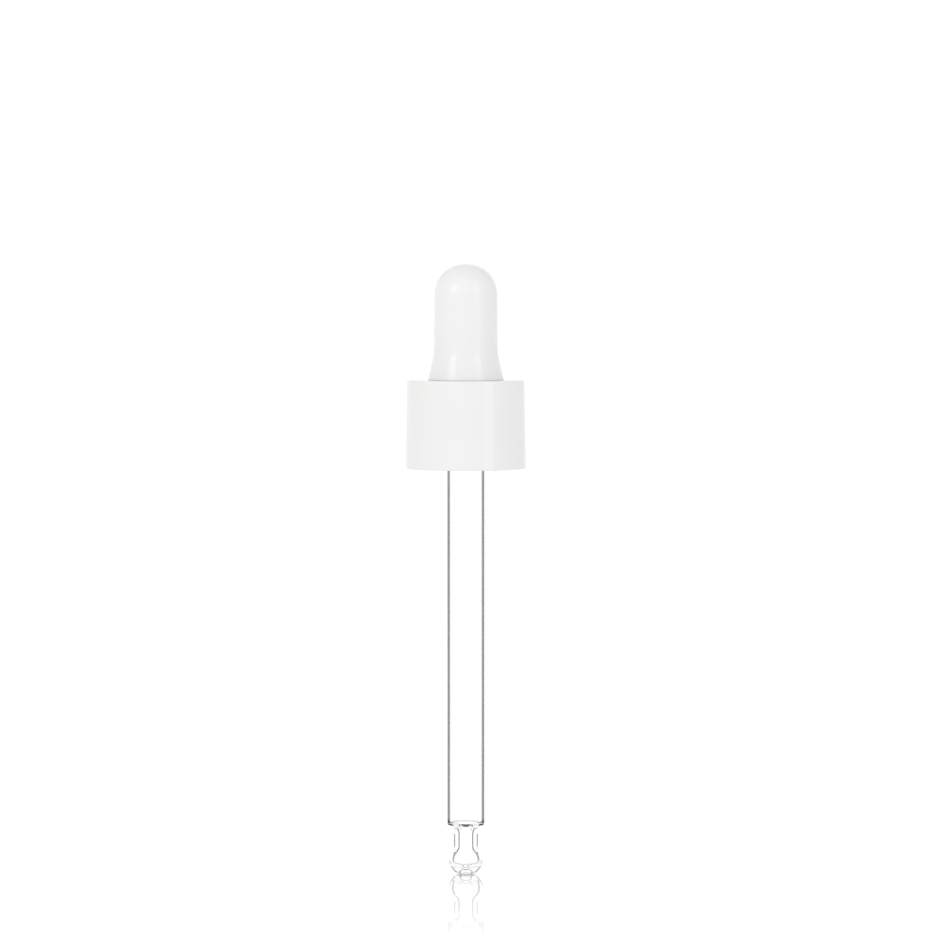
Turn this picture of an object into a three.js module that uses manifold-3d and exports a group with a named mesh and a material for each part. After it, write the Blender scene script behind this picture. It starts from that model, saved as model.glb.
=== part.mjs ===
// Medicine dropper: a screw collar, its gasket, a glass pipette with a bell tip, and a squeeze bulb.
// Millimetres, +Z up. The origin is on the axis, on the gasket's underside, where a bottle's rim seats.

import * as THREE from 'three';
import { mergeVertices } from 'three/addons/utils/BufferGeometryUtils.js';
import Module from 'manifold-3d';

const wasm = await Module();
wasm.setup();

// Every round piece has the same number of sides, so neighbours that share the axis never touch.
const roundSides = 40;

// Clearance between faces that rest on each other.
const faceGap = 0.05;

// Screw collar, for a 20 mm bottle neck.
const collarHeight = 16.8;
const collarTop = 4.95;
const collarTopRadius = 11.15;
const collarFootRadius = 11.45;
const collarPlate = 1.6;
const collarHole = 5.15;
const collarEdge = 0.3;
const threadBore = 10.05;
const threadCrest = 9.25;
const threadPitch = 3.175;
const threadTurns = 1.5;
const threadBead = 0.9;
const threadStart = 2.9;

// Gasket, a flat washer between the bottle's rim and the bulb's flange.
const gasketThickness = 1.0;
const gasketRadius = 9.1;
const gasketHole = 3.7;

// Glass pipette. Its reach is measured from the gasket's underside down to the tip.
const pipetteReach = 89.4;
const tubeRadius = 3.5;
const tubeBore = 2.6;
const nippleTop = 8.0;
const beadRadius = 5.0;
const beadHeight = 1.4;
const footRadius = 1.0;
const bellRadius = 3.21;
const neckRadius = 2.27;
const shoulderHeight = 9.55;
const neckBore = 0.93;
const tipChamber = 1.8;
const tipThroat = 0.42;

// Squeeze bulb. Heights are measured from the collar's top face.
const bulbRadius = 6.0;
const bulbWaist = 6.05;
const bulbWall = 1.2;
const domeCentre = 16.0;
const domeFullness = 0.58;
const lipRadius = 7.2;
const lipHeight = 0.14;
const flareTop = 6.9;
const seatRadius = 7.0;
const flangeRadius = 8.2;
const bulbNeck = 5.05;
const gripBore = 3.55;

// Points of an arc in the plane of radius and height.
function arc(centreRadius, centreHeight, size, fromDegrees, toDegrees, steps) {
  const points = [];
  for (let step = 0; step <= steps; step += 1) {
    const degrees = THREE.MathUtils.lerp(fromDegrees, toDegrees, step / steps);
    const angle = THREE.MathUtils.degToRad(degrees);
    points.push([centreRadius + size * Math.cos(angle), centreHeight + size * Math.sin(angle)]);
  }
  return points;
}

// Points of a smooth bend between two points, pulled by two handles.
function bend(start, startHandle, endHandle, end, steps) {
  const corners = [start, startHandle, endHandle, end].map(([radius, height]) => new THREE.Vector2(radius, height));
  const curve = new THREE.CubicBezierCurve(...corners);
  return curve.getPoints(steps).map((point) => [point.x, point.y]);
}

// A solid of revolution about +Z, from an outline that runs up the outside and down the inside.
function revolve(outline) {
  const points = outline.map(([radius, height]) => new THREE.Vector2(radius, height));
  return new THREE.LatheGeometry(points, roundSides).rotateX(Math.PI / 2);
}

// A closed outline for a piece that is open along the axis.
function closed(outline) {
  return [...outline, outline[0]];
}

function toManifold(geometry) {
  const bare = geometry.clone();
  bare.deleteAttribute('normal');
  bare.deleteAttribute('uv');
  const merged = mergeVertices(bare, 1e-5);
  const vertProperties = Float32Array.from(merged.attributes.position.array);
  const triVerts = Uint32Array.from(merged.index.array);
  return new wasm.Manifold(new wasm.Mesh({ numProp: 3, vertProperties, triVerts }));
}

function fromManifold(manifold) {
  const mesh = manifold.getMesh();
  const geometry = new THREE.BufferGeometry();
  geometry.setAttribute('position', new THREE.BufferAttribute(mesh.vertProperties, 3));
  geometry.setIndex(new THREE.BufferAttribute(mesh.triVerts, 1));
  geometry.computeVertexNormals();
  return geometry;
}

// A right-hand helix about +Z, rising from height 0.
class Helix extends THREE.Curve {
  constructor(radius, pitch, turns) {
    super();
    this.radius = radius;
    this.pitch = pitch;
    this.turns = turns;
  }

  getPoint(t, target = new THREE.Vector3()) {
    const angle = t * this.turns * Math.PI * 2;
    const height = t * this.turns * this.pitch;
    return target.set(this.radius * Math.cos(angle), this.radius * Math.sin(angle), height);
  }
}

// The collar's inner thread: a round bead that winds up the bore. Height 0 is the collar's foot.
function threadGeometry() {
  const quarterSteps = 3;
  const section = new THREE.Shape();
  section.absarc(0, 0, threadBead, 0, Math.PI * 2);
  const centreline = new Helix(threadCrest + threadBead, threadPitch, threadTurns);
  const bead = new THREE.ExtrudeGeometry(section, {
    steps: roundSides * threadTurns,
    curveSegments: quarterSteps * 2,
    extrudePath: centreline,
  });
  return bead.translate(0, 0, threadStart);
}

// The collar: a skirt with a little draft, a top plate with a hole for the bulb's neck, and a
// recess for the flange and gasket above the threaded bore. Height 0 is the collar's foot.
function collarGeometry() {
  const footEdge = 0.15;
  const mouthChamfer = 0.25;
  const recessRadius = 9.25;
  const recessFoot = collarHeight - collarTop - 0.4;
  const stepHeight = 0.8;
  const plateFoot = collarHeight - collarPlate;
  const outline = [
    [threadBore + mouthChamfer, 0],
    ...arc(collarFootRadius - footEdge, footEdge, footEdge, -90, 0, 2),
    ...arc(collarTopRadius - collarEdge, collarHeight - collarEdge, collarEdge, 0, 90, 3),
    [collarHole, collarHeight],
    [collarHole, plateFoot],
    [recessRadius, plateFoot],
    [recessRadius, recessFoot],
    [threadBore, recessFoot - stepHeight],
    [threadBore, mouthChamfer],
  ];
  const skirt = toManifold(revolve(closed(outline)));
  const thread = toManifold(threadGeometry());
  return fromManifold(skirt.add(thread));
}

function gasketGeometry() {
  return revolve(closed([
    [gasketHole, 0],
    [gasketRadius, 0],
    [gasketRadius, gasketThickness],
    [gasketHole, gasketThickness],
  ]));
}

// The outside of the pipette's tip: a gently domed foot, a bell that narrows upwards to a short neck,
// and a shoulder out to the tube. Heights are counted from the tip.
function tipOutside() {
  const bowlFoot = [2.3, 0.55];
  const bowlTop = [2.95, 1.43];
  const bellWaist = [2.5, 3.85];
  const ledge = [3.3, 9.42];
  return [
    ...bend([footRadius, 0], [1.6, 0.03], [2.02, 0.2], bowlFoot, 4),
    ...bend(bowlTop, [3.12, 1.66], [bellRadius, 1.85], [bellRadius, 2.1], 3),
    ...bend([bellRadius, 2.1], [3.18, 2.75], [2.75, 3.35], bellWaist, 4).slice(1),
    ...bend(bellWaist, [2.3, 4.25], [neckRadius, 4.6], [neckRadius, 5.1], 3).slice(1),
    ...bend([neckRadius, 8.3], [neckRadius, 9.1], [2.55, 9.32], ledge, 5),
    ...bend(ledge, [3.42, 9.435], [tubeRadius, 9.46], [tubeRadius, shoulderHeight], 3).slice(1),
  ];
}

// The inside of the tip, from the tube's bore down through the neck and two chambers, one far smaller
// than the other, to the orifice.
function tipInside() {
  const funnel = [2.1, 9.7];
  const chamberSide = [tipChamber, 2.25];
  const orificeSide = [0.87, 1.48];
  const orificeWidest = [0.87, 1.12];
  return [
    ...bend([tubeBore, 10.6], [tubeBore, 10.05], [2.5, 9.85], funnel, 3),
    ...bend(funnel, [1.45, 9.4], [neckBore, 8.8], [neckBore, 7.5], 5).slice(1),
    ...bend([neckBore, 5.3], [neckBore, 4.4], [1.72, 3.5], chamberSide, 5),
    ...bend(chamberSide, [tipChamber, 1.95], [1.3, 1.88], [0.62, 1.82], 4).slice(1),
    ...bend([tipThroat, 1.68], [tipThroat, 1.56], orificeSide, orificeWidest, 4),
    ...bend(orificeWidest, [0.87, 0.75], [tipThroat, 0.75], [tipThroat, 0.45], 3).slice(1),
    [tipThroat, 0.16],
    [0.58, 0],
  ];
}

// The pipette: bell tip, straight tube, retaining bead under the bulb's flange and a plain nipple
// that the bulb grips. Height 0 is the tip, where the pipette stands.
function pipetteGeometry() {
  const beadFoot = pipetteReach + gasketThickness + faceGap + 0.05;
  const beadRound = beadHeight / 2;
  const top = pipetteReach + nippleTop;
  const endRound = (tubeRadius - tubeBore) / 2;
  const outline = [
    ...tipOutside(),
    [tubeRadius, beadFoot],
    ...arc(beadRadius - beadRound, beadFoot + beadRound, beadRound, -90, 90, 4),
    [tubeRadius, beadFoot + beadHeight],
    ...arc(tubeBore + endRound, top - endRound, endRound, 0, 180, 4),
    ...tipInside(),
  ];
  return revolve(closed(outline));
}

// The bulb: a flange and neck held by the collar, a flared base that rests on the collar, a straight
// body and a dome a little fuller than round, all hollow. Height 0 is the collar's top face.
function bulbGeometry() {
  const flangeFoot = gasketThickness + faceGap - collarTop;
  const flangeTop = -collarPlate - faceGap;
  const flangeEdge = 0.2;
  const beadRecess = beadRadius + 0.3;
  const recessTop = flangeFoot + beadHeight + 0.25;
  const gripTop = nippleTop - collarTop + 0.35;
  const chamberFoot = gripTop + 1.6;
  const chamberRadius = bulbRadius - bulbWall;
  const domeHandle = domeFullness * bulbRadius;
  const domeTop = domeCentre + bulbRadius;
  const outline = [
    ...arc(0, domeCentre, chamberRadius, 90, 0, 6),
    [chamberRadius, chamberFoot],
    [gripBore, gripTop],
    [gripBore, recessTop],
    [beadRecess, recessTop],
    [beadRecess, flangeFoot],
    [flangeRadius - flangeEdge, flangeFoot],
    [flangeRadius, flangeFoot + flangeEdge],
    [flangeRadius, flangeTop - flangeEdge],
    [flangeRadius - flangeEdge, flangeTop],
    [bulbNeck, flangeTop],
    [bulbNeck, faceGap],
    [seatRadius, faceGap],
    [lipRadius, lipHeight],
    ...bend([6.64, 2.65], [6.3, 3.9], [bulbWaist, 5.1], [bulbWaist, flareTop], 4),
    ...bend([bulbRadius, domeCentre], [bulbRadius, domeCentre + domeHandle], [domeHandle, domeTop], [0, domeTop], 8),
  ];
  return revolve(outline);
}

function piece(name, geometry, height, material) {
  const mesh = new THREE.Mesh(geometry, new THREE.MeshStandardMaterial(material));
  mesh.name = name;
  mesh.position.z = height;
  return mesh;
}

const whitePlastic = { color: 0xf3f3f2, roughness: 0.28, metalness: 0 };
const whiteSilicone = { color: 0xf4f4f4, roughness: 0.4, metalness: 0 };
const softPlastic = { color: 0xe9e9e6, roughness: 0.6, metalness: 0 };
const clearGlass = { color: 0xf7fbfb, roughness: 0.03, metalness: 0, transparent: true, opacity: 0.35 };

// The bulb and pipette are one group, because they turn together in the collar.
const dropperCore = new THREE.Group();
dropperCore.add(piece('glass_pipette', pipetteGeometry(), -pipetteReach, clearGlass));
dropperCore.add(piece('rubber_bulb', bulbGeometry(), collarTop, whiteSilicone));

const dropper = new THREE.Group();
dropper.add(piece('screw_collar', collarGeometry(), collarTop - collarHeight, whitePlastic));
dropper.add(piece('neck_gasket', gasketGeometry(), 0, softPlastic));
dropper.add(dropperCore);

export default dropper;
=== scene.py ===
"""Medicine dropper: the looks of its squeeze bulb, screw collar, gasket and glass pipette.

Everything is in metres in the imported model's frame: +Z runs up the dropper's axis, and z = 0 is the
gasket's underside. Outlines are written in millimetres as (radius, height) and scaled when meshed.
"""

import math

import bmesh
import bpy
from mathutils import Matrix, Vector


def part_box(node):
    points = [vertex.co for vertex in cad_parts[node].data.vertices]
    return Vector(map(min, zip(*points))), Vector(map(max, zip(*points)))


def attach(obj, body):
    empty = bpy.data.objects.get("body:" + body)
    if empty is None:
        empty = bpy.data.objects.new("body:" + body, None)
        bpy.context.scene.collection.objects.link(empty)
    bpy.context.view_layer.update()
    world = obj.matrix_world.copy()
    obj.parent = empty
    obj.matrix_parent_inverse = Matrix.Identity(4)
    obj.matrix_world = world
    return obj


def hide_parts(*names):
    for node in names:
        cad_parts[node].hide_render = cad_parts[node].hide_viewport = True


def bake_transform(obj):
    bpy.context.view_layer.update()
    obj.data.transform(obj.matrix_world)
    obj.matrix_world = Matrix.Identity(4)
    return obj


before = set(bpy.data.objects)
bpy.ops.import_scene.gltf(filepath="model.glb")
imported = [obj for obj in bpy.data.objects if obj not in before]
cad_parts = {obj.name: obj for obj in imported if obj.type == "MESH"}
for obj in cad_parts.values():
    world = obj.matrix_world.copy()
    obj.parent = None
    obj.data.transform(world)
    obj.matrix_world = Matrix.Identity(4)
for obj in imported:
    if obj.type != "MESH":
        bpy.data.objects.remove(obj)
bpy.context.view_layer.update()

MM = 0.001
ROUND_SIDES = 192
SMOOTH_DEGREES = 35
NEARLY_ZERO = 1e-9

# Heights and radii that the CAD nodes already have, in millimetres.
collar_low, collar_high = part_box("screw_collar")
gasket_low, gasket_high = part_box("neck_gasket")
pipette_low, pipette_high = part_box("glass_pipette")
bulb_low, bulb_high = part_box("rubber_bulb")
COLLAR_FOOT = collar_low.z / MM
COLLAR_TOP = collar_high.z / MM
COLLAR_FOOT_RADIUS = collar_high.x / MM
GASKET_RADIUS = gasket_high.x / MM
GASKET_TOP = gasket_high.z / MM
TIP = pipette_low.z / MM
NIPPLE_TOP = pipette_high.z / MM
BEAD_RADIUS = pipette_high.x / MM
BULB_FOOT = bulb_low.z / MM
BULB_TOP = bulb_high.z / MM
FLANGE_RADIUS = bulb_high.x / MM

# Screw collar.
COLLAR_TOP_RADIUS = 11.15
COLLAR_PLATE = 1.6
COLLAR_HOLE = 5.15
RECESS_RADIUS = 9.25
THREAD_BORE = 10.05
THREAD_HEIGHT = 0.8
THREAD_PITCH = 3.175
THREAD_TURNS = 1.5
THREAD_START = COLLAR_FOOT + 2.9

# Glass pipette. Heights in the tip are counted from the tip.
TUBE_RADIUS = 3.5
TUBE_BORE = 2.6
BEAD_FOOT = 1.1
BEAD_HEIGHT = 1.4
FOOT_RADIUS = 1.0
BELL_RADIUS = 3.21
NECK_RADIUS = 2.27
SHOULDER_HEIGHT = 9.55
NECK_BORE = 0.93
TIP_CHAMBER = 1.8
TIP_THROAT = 0.42

# Squeeze bulb. Heights in its outline are counted from the collar's top face, on which the lip
# rests with the seat's gap.
BULB_RADIUS = 6.0
BULB_WAIST = 6.05
BULB_WALL = 1.2
DOME_FULLNESS = 0.58
DOME_CENTRE = BULB_TOP - BULB_RADIUS - COLLAR_TOP
LIP_RADIUS = 7.2
LIP_HEIGHT = 0.05
FLARE_TOP = 6.9
SEAT_RADIUS = 7.08
SEAT_GAP = 0.01
BULB_NECK = 5.05
GRIP_BORE = 3.55

# A shader Mix node's sockets for colours have no names of their own.
MIX_A = 6
MIX_B = 7
MIX_RESULT = 2
WHITE = (1.0, 1.0, 1.0)


# ---------------------------------------------------------------- outlines

def arc(centre_radius, centre_height, size, start_degrees, end_degrees, steps):
    """Points of an arc in the plane of radius and height."""
    points = []
    for step in range(steps + 1):
        angle = math.radians(start_degrees + (end_degrees - start_degrees) * step / steps)
        points.append((centre_radius + size * math.cos(angle), centre_height + size * math.sin(angle)))
    return points


def bend(start, start_handle, end_handle, end, steps=12):
    """Points of a cubic curve between two points, pulled by two handles."""
    points = []
    for step in range(steps + 1):
        t = step / steps
        shares = ((1 - t) ** 3, 3 * t * (1 - t) ** 2, 3 * t * t * (1 - t), t ** 3)
        corners = (start, start_handle, end_handle, end)
        radius = sum(share * corner[0] for share, corner in zip(shares, corners))
        height = sum(share * corner[1] for share, corner in zip(shares, corners))
        points.append((radius, height))
    return points


def lifted(outline, height):
    return [(radius, z + height) for radius, z in outline]


def supported(outline, longest, edge=0.04):
    """The outline with a point close to each end of its long stretches, and with those stretches split
    so that no part is longer than longest. A stretch of no length is left out."""
    shortest = 1e-7
    points = []
    for (r0, z0), (r1, z1) in zip(outline, outline[1:]):
        length = math.hypot(r1 - r0, z1 - z0)
        if length < shortest:
            continue
        shares = [0.0]
        if length > 6 * edge:
            count = max(1, math.ceil((length - 2 * edge) / longest))
            shares += [(edge + (length - 2 * edge) * i / count) / length for i in range(count + 1)]
        points += [(r0 + (r1 - r0) * s, z0 + (z1 - z0) * s) for s in shares]
    points.append(outline[-1])
    return points


# ---------------------------------------------------------------- meshes

def revolve(name, outline, radius_at=None, longest=4.0):
    """A smooth mesh of revolution. An outline that starts and ends on the axis closes there, and any
    other closes on itself. radius_at(radius, height, angle) may move a point in or out."""
    points = supported(outline, longest)
    on_axis = abs(points[0][0]) < NEARLY_ZERO
    if not on_axis and points[0] == points[-1]:
        points = points[:-1]
    mesh = bmesh.new()
    rings = []
    for radius, height in points:
        if radius < NEARLY_ZERO:
            rings.append([mesh.verts.new((0, 0, height * MM))])
            continue
        ring = []
        for side in range(ROUND_SIDES):
            angle = 2 * math.pi * side / ROUND_SIDES
            reach = radius_at(radius, height, angle) if radius_at else radius
            place = (reach * MM * math.cos(angle), reach * MM * math.sin(angle), height * MM)
            ring.append(mesh.verts.new(place))
        rings.append(ring)
    pairs = list(zip(rings, rings[1:]))
    if not on_axis:
        pairs.append((rings[-1], rings[0]))
    for low, high in pairs:
        for side in range(ROUND_SIDES):
            after = (side + 1) % ROUND_SIDES
            if len(low) == 1:
                mesh.faces.new((low[0], high[after], high[side]))
            elif len(high) == 1:
                mesh.faces.new((low[side], low[after], high[0]))
            else:
                mesh.faces.new((low[side], low[after], high[after], high[side]))
    data = bpy.data.meshes.new(name)
    mesh.to_mesh(data)
    mesh.free()
    data.polygons.foreach_set("use_smooth", [True] * len(data.polygons))
    data.set_sharp_from_angle(angle=math.radians(SMOOTH_DEGREES))
    piece = bpy.data.objects.new(name, data)
    bpy.context.scene.collection.objects.link(piece)
    return piece


def smoothstep(low, high, value):
    t = min(1.0, max(0.0, (value - low) / (high - low)))
    return t * t * (3 - 2 * t)


def thread_rise(height, angle):
    """How far the inner thread stands in from the bore at a height and angle, in millimetres."""
    crest = 0.42
    flank = 0.62
    fade = 0.12
    rise = 0.0
    for lap in range(math.ceil(THREAD_TURNS) + 1):
        turns = angle / (2 * math.pi) + lap
        off = abs(height - THREAD_START - turns * THREAD_PITCH)
        end = smoothstep(0, fade, turns) * smoothstep(0, fade, THREAD_TURNS - turns)
        rise = max(rise, THREAD_HEIGHT * end * (1 - smoothstep(crest / 2, crest / 2 + flank, off)))
    return rise


def collar_radius(radius, height, angle):
    """The collar's radius with the thread on its bore, and everywhere else as it is."""
    if radius != THREAD_BORE:
        return radius
    return radius - thread_rise(height, angle)


def make_collar():
    foot_round = 0.16
    top_round = 0.32
    hole_round = 0.12
    mouth = 0.25
    step_top = -0.4
    step_foot = -1.2
    plate_foot = COLLAR_TOP - COLLAR_PLATE
    bore_rows = 90
    bore_foot = COLLAR_FOOT + mouth
    bore_drop = bore_foot - step_foot
    bore = [(THREAD_BORE, step_foot + bore_drop * row / bore_rows) for row in range(bore_rows + 1)]
    outline = [
        *arc(COLLAR_FOOT_RADIUS - foot_round, COLLAR_FOOT + foot_round, foot_round, -90, 0, 8),
        *arc(COLLAR_TOP_RADIUS - top_round, COLLAR_TOP - top_round, top_round, 0, 90, 12),
        *arc(COLLAR_HOLE + hole_round, COLLAR_TOP - hole_round, hole_round, 90, 180, 6),
        (COLLAR_HOLE, plate_foot),
        (RECESS_RADIUS, plate_foot),
        (RECESS_RADIUS, step_top),
        *bore,
        (THREAD_BORE + mouth, COLLAR_FOOT),
    ]
    return revolve("screw_collar_body", outline + outline[:1], collar_radius)


def make_gasket():
    """A washer with a shallow ring groove in its underside, which is counted from z = 0."""
    edge = 0.15
    hole = 3.7
    groove = 0.08
    outline = [
        *arc(GASKET_RADIUS - edge, edge, edge, -90, 0, 6),
        *arc(GASKET_RADIUS - edge, GASKET_TOP - edge, edge, 0, 90, 6),
        *arc(hole + edge, GASKET_TOP - edge, edge, 90, 180, 6),
        *arc(hole + edge, edge, edge, 180, 270, 6),
        (6.2, 0.0),
        *bend((6.2, 0.0), (6.4, 0.0), (6.4, groove), (6.6, groove), 6),
        *bend((8.4, groove), (8.6, groove), (8.6, 0.0), (8.8, 0.0), 6),
    ]
    return revolve("gasket_washer", outline + outline[:1])


def tip_outside():
    """The outside of the tip: a gently domed foot, a bell that narrows to a short neck, and a shoulder
    up to the tube."""
    bowl_foot = (2.3, 0.55)
    bowl_top = (2.95, 1.43)
    bell_side = (BELL_RADIUS, 2.1)
    bell_waist = (2.5, 3.85)
    ledge = (3.3, 9.42)
    return [
        *bend((FOOT_RADIUS, 0.0), (1.6, 0.03), (2.02, 0.2), bowl_foot, 16),
        *bend(bowl_foot, (2.52, 0.83), (2.74, 1.1), bowl_top, 10)[1:],
        *bend(bowl_top, (3.12, 1.66), (BELL_RADIUS, 1.85), bell_side, 10)[1:],
        *bend(bell_side, (3.18, 2.75), (2.75, 3.35), bell_waist, 16)[1:],
        *bend(bell_waist, (2.3, 4.25), (NECK_RADIUS, 4.6), (NECK_RADIUS, 5.1), 14)[1:],
        *bend((NECK_RADIUS, 8.3), (NECK_RADIUS, 9.1), (2.55, 9.32), ledge, 20),
        *bend(ledge, (3.42, 9.435), (TUBE_RADIUS, 9.46), (TUBE_RADIUS, SHOULDER_HEIGHT), 14)[1:],
    ]


def tip_inside():
    """The inside of the tip, from the tube's bore down through the neck to a large chamber, a throat, a
    small chamber and the orifice."""
    funnel = (2.1, 9.7)
    chamber_side = (TIP_CHAMBER, 2.25)
    orifice_side = (0.87, 1.48)
    orifice_widest = (0.87, 1.12)
    return [
        *bend((TUBE_BORE, 10.6), (TUBE_BORE, 10.05), (2.5, 9.85), funnel, 14),
        *bend(funnel, (1.45, 9.4), (NECK_BORE, 8.8), (NECK_BORE, 7.5), 20)[1:],
        *bend((NECK_BORE, 5.3), (NECK_BORE, 4.4), (1.72, 3.5), chamber_side, 20),
        *bend(chamber_side, (TIP_CHAMBER, 1.95), (1.3, 1.88), (0.62, 1.82), 18)[1:],
        *bend((0.62, 1.82), (0.5, 1.81), (TIP_THROAT, 1.77), (TIP_THROAT, 1.68), 6)[1:],
        *bend((TIP_THROAT, 1.68), (TIP_THROAT, 1.56), orifice_side, orifice_widest, 18)[1:],
        *bend(orifice_widest, (0.87, 0.75), (TIP_THROAT, 0.75), (TIP_THROAT, 0.45), 14)[1:],
        *bend((TIP_THROAT, 0.16), (TIP_THROAT, 0.06), (0.48, 0.0), (0.58, 0.0), 8),
    ]


def make_pipette():
    bead_round = BEAD_HEIGHT / 2
    bead_top = BEAD_FOOT + BEAD_HEIGHT
    fillet = 0.3
    fillet_edge = TUBE_RADIUS + fillet
    end_round = (TUBE_RADIUS - TUBE_BORE) / 2
    inside = lifted(tip_inside(), TIP)
    outside = [
        *lifted(tip_outside(), TIP),
        *bend((TUBE_RADIUS, BEAD_FOOT - fillet), (TUBE_RADIUS, BEAD_FOOT), (TUBE_RADIUS, BEAD_FOOT),
              (fillet_edge, BEAD_FOOT), 6),
        *arc(BEAD_RADIUS - bead_round, BEAD_FOOT + bead_round, bead_round, -90, 90, 24),
        *bend((fillet_edge, bead_top), (TUBE_RADIUS, bead_top), (TUBE_RADIUS, bead_top),
              (TUBE_RADIUS, bead_top + fillet), 6),
        *arc(TUBE_BORE + end_round, NIPPLE_TOP - end_round, end_round, 0, 180, 20),
    ]
    outline = outside + inside
    return revolve("pipette_glass", outline + outline[:1])


def bulb_outside():
    """The outside of the bulb above the collar: the lip that rests on it, flare, body and dome. The lip
    has a thin rounded edge and leaves almost no groove under it, and the dome is fuller than a ball."""
    lip = (LIP_RADIUS, LIP_HEIGHT)
    dome_handle = DOME_FULLNESS * BULB_RADIUS
    dome_top = DOME_CENTRE + BULB_RADIUS
    return [
        *bend((SEAT_RADIUS, SEAT_GAP), (LIP_RADIUS - 0.05, SEAT_GAP), (LIP_RADIUS, 0.02), lip, 10),
        *bend(lip, (6.45, 3.3), (BULB_WAIST, 4.5), (BULB_WAIST, FLARE_TOP), 28)[1:],
        *bend((BULB_RADIUS, DOME_CENTRE), (BULB_RADIUS, DOME_CENTRE + dome_handle),
              (dome_handle, dome_top), (0, dome_top), 48),
    ]


def make_bulb():
    contact_gap = 0.05
    bead_room = 0.3
    bead_headroom = 0.25
    nipple_room = 0.35
    cone = 1.6
    flange_top = -COLLAR_PLATE - contact_gap
    flange_foot = BULB_FOOT - COLLAR_TOP
    edge = 0.2
    bead_recess = BEAD_RADIUS + bead_room
    recess_top = flange_foot + BEAD_HEIGHT + bead_headroom
    grip_top = NIPPLE_TOP - COLLAR_TOP + nipple_room
    chamber = BULB_RADIUS - BULB_WALL
    chamber_foot = grip_top + cone
    outline = [
        *arc(0, DOME_CENTRE, chamber, 90, 0, 32),
        *bend((chamber, chamber_foot), (chamber, grip_top + 0.7), (GRIP_BORE, grip_top + 0.9),
              (GRIP_BORE, grip_top), 10),
        (GRIP_BORE, recess_top),
        (bead_recess, recess_top),
        (bead_recess, flange_foot),
        *arc(FLANGE_RADIUS - edge, flange_foot + edge, edge, -90, 0, 6),
        *arc(FLANGE_RADIUS - edge, flange_top - edge, edge, 0, 90, 6),
        (BULB_NECK, flange_top),
        (BULB_NECK, SEAT_GAP),
        *bulb_outside(),
    ]
    return revolve("squeeze_bulb", lifted(outline, COLLAR_TOP), longest=0.5)


# ---------------------------------------------------------------- materials

def new_material(name):
    material = bpy.data.materials.new(name)
    material.use_nodes = True
    nodes = material.node_tree.nodes
    return material, nodes, material.node_tree.links, nodes["Principled BSDF"]


def add(nodes, kind, **values):
    """A shader node with the given input values, or properties where it has no such input."""
    node = nodes.new(kind)
    for key, value in values.items():
        label = key.replace("_", " ")
        if label in node.inputs:
            node.inputs[label].default_value = value
        else:
            setattr(node, key, value)
    return node


def ramp(nodes, stops):
    """A colour ramp through stops of (position, colour)."""
    node = nodes.new("ShaderNodeValToRGB")
    elements = node.color_ramp.elements
    while len(elements) < len(stops):
        elements.new(0.5)
    for element, (position, colour) in zip(elements, stops):
        element.position = position
        element.color = (*colour, 1)
    return node


def moulded(name, pale, shade, roughness, grain_scale, grain_height, ior):
    """A moulded white surface: a faint drift of colour, a fine grain and a slightly uneven gloss."""
    material, nodes, links, surface = new_material(name)
    place = add(nodes, "ShaderNodeTexCoord")
    drift = add(nodes, "ShaderNodeTexNoise", Scale=140.0, Detail=3.0, Roughness=0.55)
    grain = add(nodes, "ShaderNodeTexNoise", Scale=grain_scale, Detail=4.0, Roughness=0.6)
    colour = ramp(nodes, [(0.3, shade), (0.7, pale)])
    gloss = add(nodes, "ShaderNodeMapRange", To_Min=roughness[0], To_Max=roughness[1])
    bump = add(nodes, "ShaderNodeBump", Strength=1.0, Distance=grain_height * MM)
    links.new(place.outputs["Object"], drift.inputs["Vector"])
    links.new(place.outputs["Object"], grain.inputs["Vector"])
    links.new(drift.outputs["Fac"], colour.inputs["Fac"])
    links.new(colour.outputs["Color"], surface.inputs["Base Color"])
    links.new(drift.outputs["Fac"], gloss.inputs["Value"])
    links.new(gloss.outputs["Result"], surface.inputs["Roughness"])
    links.new(grain.outputs["Fac"], bump.inputs["Height"])
    links.new(bump.outputs["Normal"], surface.inputs["Normal"])
    surface.inputs["IOR"].default_value = ior
    return material, surface


def silicone():
    material, surface = moulded("white_silicone", (0.82, 0.82, 0.82), (0.81, 0.81, 0.812),
                                (0.09, 0.12), 2600.0, 0.001, 1.45)
    surface.inputs["Subsurface Weight"].default_value = 0.1
    surface.inputs["Subsurface Radius"].default_value = (1.0, 0.95, 0.9)
    surface.inputs["Subsurface Scale"].default_value = 0.8 * MM
    return material


def collar_plastic():
    material, _ = moulded("white_polypropylene", (0.818, 0.818, 0.813), (0.808, 0.808, 0.803),
                          (0.07, 0.1), 900.0, 0.0006, 1.49)
    return material


def gasket_plastic():
    material, _ = moulded("natural_polyethylene", (0.78, 0.78, 0.75), (0.72, 0.72, 0.69),
                          (0.5, 0.62), 3800.0, 0.006, 1.5)
    return material


# The glass's painted shade: greys painted on clear glass where it is seen at a slant, standing in for
# the dark lines that glass shows at its edges. They run over Layer Weight's facing, from 0 for glass
# seen face on to 1 for edge on. How much of each shows runs over height above the tip, in millimetres,
# up to the painted shade's span and on.
GLASS_IOR = 1.5
PAINTED_SHADE_SPAN = 12.0
FOOT_SHADE_TONE = (0.5, 0.5, 0.5)
TUBE_PAINTED_SHADE = [(0.44, WHITE), (0.56, (0.3, 0.305, 0.305))]
TUBE_SHARE = [(9.75, 0.0), (10.0, 1.0)]
TIP_PAINTED_SHADE = [(0.5, WHITE), (0.7, (0.1, 0.1, 0.1))]
TIP_SHARE = [
    (0.2, 0.0), (0.5, 0.6), (1.5, 0.5), (1.9, 0.0),
    (4.9, 0.0), (5.5, 0.8), (7.6, 0.8), (7.9, 0.0),
]
LEDGE_PAINTED_SHADE = [(0.6, WHITE), (0.85, (0.3, 0.3, 0.3))]
LEDGE_SHARE = [(9.26, 0.0), (9.31, 0.4), (9.35, 0.4), (9.4, 0.0)]
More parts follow.
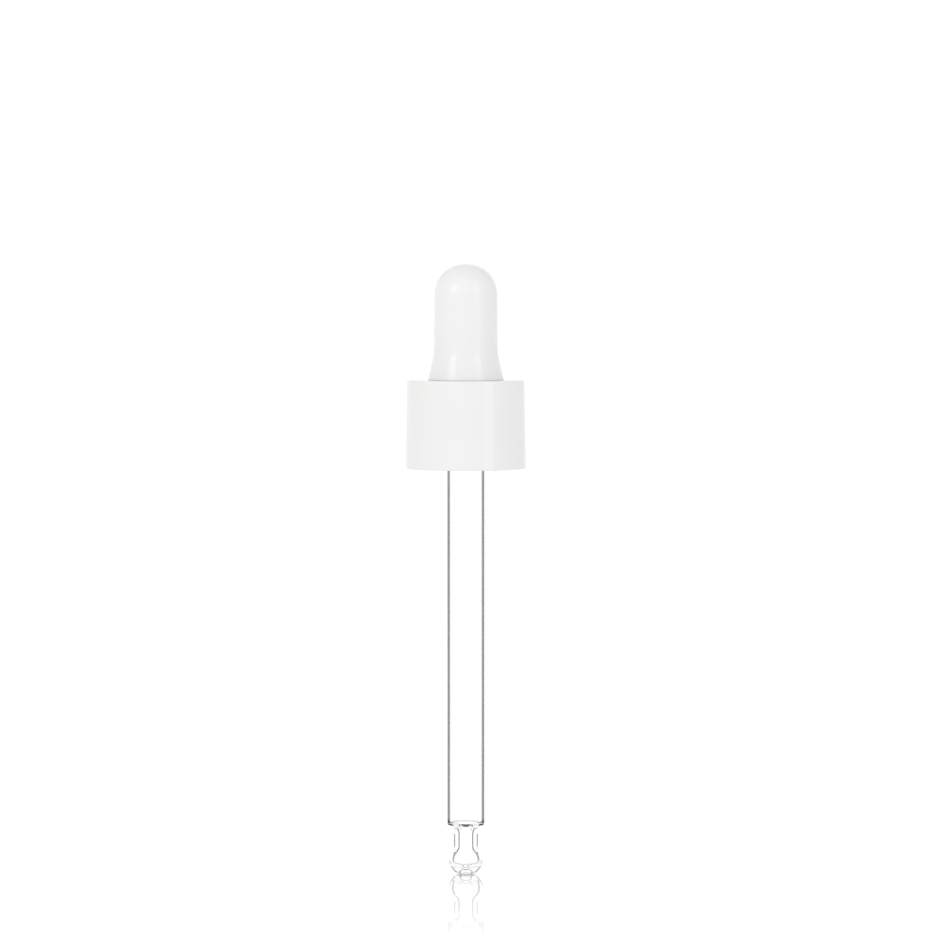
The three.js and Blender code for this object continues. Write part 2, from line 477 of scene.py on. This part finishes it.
# The foot's painted shade is one flat grey, whatever the slant.
FOOT_PAINTED_SHADE = [(0.0, FOOT_SHADE_TONE), (1.0, FOOT_SHADE_TONE)]
FOOT_SHARE = [(0.0, 0.8), (0.14, 0.8), (0.3, 0.0)]
BORE_PAINTED_SHADE = [(0.42, WHITE), (0.58, (0.15, 0.15, 0.15))]
BORE_SHARE = [
    (1.5, 0.8), (1.66, 0.12), (1.95, 0.12), (2.1, 0.7),
    (4.3, 0.8), (4.6, 1.0), (8.8, 1.0), (9.4, 0.0),
]


def glass(name, outer):
    """Clear glass with painted shade: grey painted where it is seen at a slant, as much as its height
    above the tip says. The bore's wall gets that only from within the glass. The outside gets it from
    the air, with a flat painted grey at the foot, and from within the glass at the shoulder. From high
    above, the whole tube is seen at a slant, so all of it goes grey."""
    material, nodes, links, surface = new_material(name)
    nodes.remove(surface)
    clear = add(nodes, "ShaderNodeBsdfGlass", Color=(1, 1, 1, 1), Roughness=0.0, IOR=GLASS_IOR)
    links.new(clear.outputs["BSDF"], nodes["Material Output"].inputs["Surface"])
    slant = add(nodes, "ShaderNodeLayerWeight", Blend=0.5)
    geometry = add(nodes, "ShaderNodeNewGeometry")
    path = add(nodes, "ShaderNodeLightPath")
    place = add(nodes, "ShaderNodeTexCoord")
    height = add(nodes, "ShaderNodeSeparateXYZ")
    links.new(place.outputs["Object"], height.inputs["Vector"])

    def paint_shade(stops, heights, passes):
        """Painted shade: grey by slant, as strong as a ramp over the heights says, and none at all on a
        ray that has already gone through that many surfaces."""
        # Painted shade: a grey that darkens as the glass is seen more edge on.
        grey = ramp(nodes, stops)
        links.new(slant.outputs["Facing"], grey.inputs["Fac"])
        rise = add(nodes, "ShaderNodeMapRange", From_Min=TIP * MM, From_Max=(TIP + PAINTED_SHADE_SPAN) * MM)
        links.new(height.outputs["Z"], rise.inputs["Value"])
        share = ramp(nodes, [(h / PAINTED_SHADE_SPAN, (v, v, v)) for h, v in heights])
        links.new(rise.outputs["Result"], share.inputs["Fac"])
        early = add(nodes, "ShaderNodeMath", operation="LESS_THAN")
        early.inputs[1].default_value = passes - 0.5
        links.new(path.outputs["Transmission Depth"], early.inputs[0])
        shown = add(nodes, "ShaderNodeMath", operation="MULTIPLY")
        links.new(share.outputs["Color"], shown.inputs[0])
        links.new(early.outputs["Value"], shown.inputs[1])
        mix = add(nodes, "ShaderNodeMix", data_type="RGBA")
        links.new(shown.outputs["Value"], mix.inputs["Factor"])
        mix.inputs[MIX_A].default_value = (*WHITE, 1)
        links.new(grey.outputs["Color"], mix.inputs[MIX_B])
        return mix.outputs[MIX_RESULT]

    by_side = add(nodes, "ShaderNodeMix", data_type="RGBA")
    by_side.inputs[MIX_A].default_value = (*WHITE, 1)
    links.new(geometry.outputs["Backfacing"], by_side.inputs["Factor"])
    if outer:
        product = paint_shade(TUBE_PAINTED_SHADE, TUBE_SHARE, 1)
        for stops, heights in ((TIP_PAINTED_SHADE, TIP_SHARE), (FOOT_PAINTED_SHADE, FOOT_SHARE)):
            both = add(nodes, "ShaderNodeMix", data_type="RGBA", blend_type="MULTIPLY")
            both.inputs["Factor"].default_value = 1.0
            links.new(product, both.inputs[MIX_A])
            links.new(paint_shade(stops, heights, 1), both.inputs[MIX_B])
            product = both.outputs[MIX_RESULT]
        links.new(product, by_side.inputs[MIX_A])
        links.new(paint_shade(LEDGE_PAINTED_SHADE, LEDGE_SHARE, 2), by_side.inputs[MIX_B])
    else:
        links.new(paint_shade(BORE_PAINTED_SHADE, BORE_SHARE, 2), by_side.inputs[MIX_B])
    # The glass's colour carries its painted shade.
    links.new(by_side.outputs[MIX_RESULT], clear.inputs["Color"])
    return material


def paint_pipette(pipette):
    """The outside, with the foot's flat face, and the bore are two materials of the same glass, whose
    painted shade falls in different places.
    """
    foot_skin = 0.01
    pipette.data.materials.append(glass("glass_outside_painted_shade", outer=True))
    pipette.data.materials.append(glass("glass_bore_painted_shade", outer=False))
    for face in pipette.data.polygons:
        outward = face.normal.x * face.center.x + face.normal.y * face.center.y
        at_foot = face.center.z / MM < TIP + foot_skin
        face.material_index = 0 if outward >= 0 or at_foot else 1


# ---------------------------------------------------------------- the object

collar = make_collar()
collar.data.materials.append(collar_plastic())
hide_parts("screw_collar")
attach(collar, "collar")

gasket = make_gasket()
gasket.data.materials.append(gasket_plastic())
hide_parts("neck_gasket")
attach(gasket, "collar")

pipette = make_pipette()
paint_pipette(pipette)
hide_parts("glass_pipette")
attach(pipette, "pipette")

bulb = make_bulb()
bulb.data.materials.append(silicone())
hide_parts("rubber_bulb")
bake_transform(bulb)


# ---------------------------------------------------------------- the studio

def make_floor():
    """A pale glossy table, just under the tip. Its mirror shine is strongest there and fades out around
    it. It glows a little less for the light that matt surfaces get from it than it looks."""
    half = 2.5
    drop = 0.02
    level = (TIP - drop) * MM
    shine_reach = 0.075
    data = bpy.data.meshes.new("floor")
    corners = [(-half, -half, level), (half, -half, level), (half, half, level), (-half, half, level)]
    data.from_pydata(corners, [], [(0, 1, 2, 3)])
    floor = bpy.data.objects.new("floor", data)
    bpy.context.scene.collection.objects.link(floor)
    material = bpy.data.materials.new("pale_table")
    material.use_nodes = True
    nodes = material.node_tree.nodes
    links = material.node_tree.links
    nodes.clear()
    place = add(nodes, "ShaderNodeTexCoord")
    distance = add(nodes, "ShaderNodeVectorMath", operation="LENGTH")
    foot = add(nodes, "ShaderNodeVectorMath", operation="SUBTRACT")
    foot.inputs[1].default_value = (0, 0, TIP * MM)
    fade = add(nodes, "ShaderNodeMapRange", From_Min=0.0, From_Max=shine_reach, To_Min=0.86, To_Max=0.03)
    matte = add(nodes, "ShaderNodeBsdfDiffuse", Color=(0.1, 0.1, 0.1, 1))
    path = add(nodes, "ShaderNodeLightPath")
    strength = add(nodes, "ShaderNodeMapRange", To_Min=0.95, To_Max=0.85)
    glow = add(nodes, "ShaderNodeEmission", Color=(1, 1, 1, 1))
    links.new(path.outputs["Is Diffuse Ray"], strength.inputs["Value"])
    links.new(strength.outputs["Result"], glow.inputs["Strength"])
    lit = add(nodes, "ShaderNodeAddShader")
    mirror = add(nodes, "ShaderNodeBsdfGlossy", Color=(1, 1, 1, 1), Roughness=0.0)
    mix = add(nodes, "ShaderNodeMixShader")
    out = add(nodes, "ShaderNodeOutputMaterial")
    links.new(place.outputs["Object"], foot.inputs[0])
    links.new(foot.outputs["Vector"], distance.inputs[0])
    links.new(distance.outputs["Value"], fade.inputs["Value"])
    links.new(fade.outputs["Result"], mix.inputs["Fac"])
    links.new(matte.outputs["BSDF"], lit.inputs[0])
    links.new(glow.outputs["Emission"], lit.inputs[1])
    links.new(lit.outputs["Shader"], mix.inputs[1])
    links.new(mirror.outputs["BSDF"], mix.inputs[2])
    links.new(mix.outputs["Shader"], out.inputs["Surface"])
    data.materials.append(material)


def make_world():
    """A white studio. The light that matt surfaces get is brightest a little above the horizon, and
    dimmer from the ceiling and sides, but it looks white all over, in mirrors and through glass too."""
    world = bpy.data.worlds.new("studio")
    bpy.context.scene.world = world
    world.use_nodes = True
    nodes = world.node_tree.nodes
    links = world.node_tree.links
    direction = add(nodes, "ShaderNodeTexCoord")
    split = add(nodes, "ShaderNodeSeparateXYZ")
    links.new(direction.outputs["Generated"], split.inputs["Vector"])
    across = add(nodes, "ShaderNodeMapRange", From_Min=-1.0, From_Max=1.0)
    ceiling = ramp(nodes, [(0.0, WHITE), (0.25, (1.06, 1.06, 1.06)), (0.85, (0.7, 0.7, 0.7))])
    left = (0.86, 0.86, 0.86)
    right = (0.765, 0.765, 0.765)
    sides = ramp(nodes, [(0.1, left), (0.35, WHITE), (0.6, WHITE), (0.78, right)])
    product = add(nodes, "ShaderNodeMix", data_type="RGBA", blend_type="MULTIPLY")
    product.inputs["Factor"].default_value = 1.0
    links.new(split.outputs["Z"], ceiling.inputs["Fac"])
    links.new(split.outputs["X"], across.inputs["Value"])
    links.new(across.outputs["Result"], sides.inputs["Fac"])
    links.new(ceiling.outputs["Color"], product.inputs[MIX_A])
    links.new(sides.outputs["Color"], product.inputs[MIX_B])
    path = add(nodes, "ShaderNodeLightPath")
    seen = add(nodes, "ShaderNodeMix", data_type="RGBA")
    seen.inputs[MIX_A].default_value = (1.02, 1.02, 1.02, 1)
    links.new(path.outputs["Is Diffuse Ray"], seen.inputs["Factor"])
    links.new(product.outputs[MIX_RESULT], seen.inputs[MIX_B])
    links.new(seen.outputs[MIX_RESULT], nodes["Background"].inputs["Color"])


def softbox(name, azimuth, elevation, width, height, radiance):
    """A soft rectangular light that faces the dropper. Azimuth 0 is the front, and 90 is the right."""
    distance = 0.9
    light = bpy.data.lights.new(name, "AREA")
    light.shape = "RECTANGLE"
    light.size = width
    light.size_y = height
    light.energy = radiance * math.pi * width * height
    lamp = bpy.data.objects.new(name, light)
    turn, rise = math.radians(azimuth), math.radians(elevation)
    away = Vector((math.sin(turn) * math.cos(rise), -math.cos(turn) * math.cos(rise), math.sin(rise)))
    lamp.location = away * distance
    lamp.rotation_euler = away.to_track_quat("Z", "Y").to_euler()
    lamp.visible_camera = False
    bpy.context.scene.collection.objects.link(lamp)


def make_camera():
    """The photo's view: from the front, level with the bulb's upper part, looking slightly down."""
    eye = Vector((0.00174, -0.741, 0.022))
    aim = Vector((eye.x, 0, -0.01313))
    data = bpy.data.cameras.new("camera")
    data.sensor_width = 36
    data.lens = 147.8
    data.clip_start = 0.01
    camera = bpy.data.objects.new("camera", data)
    camera.location = eye
    camera.rotation_euler = (aim - eye).to_track_quat("-Z", "Y").to_euler()
    bpy.context.scene.collection.objects.link(camera)
    bpy.context.scene.camera = camera


make_floor()
make_world()
softbox("strip_right", azimuth=45, elevation=4, width=0.3, height=0.6, radiance=0.85)
softbox("softbox_right", azimuth=45, elevation=25, width=0.3, height=0.3, radiance=0.9)
softbox("softbox_left", azimuth=-46, elevation=23, width=0.32, height=0.4, radiance=1.8)
softbox("front_fill", azimuth=-10, elevation=40, width=2.0, height=0.8, radiance=0.34)
make_camera()
bpy.context.scene.view_settings.view_transform = "Standard"

# Light in the glass is turned back many times, and goes dark if it's followed for too few.
cycles = bpy.context.scene.cycles
cycles.max_bounces = 32
cycles.glossy_bounces = 24
cycles.transmission_bounces = 24
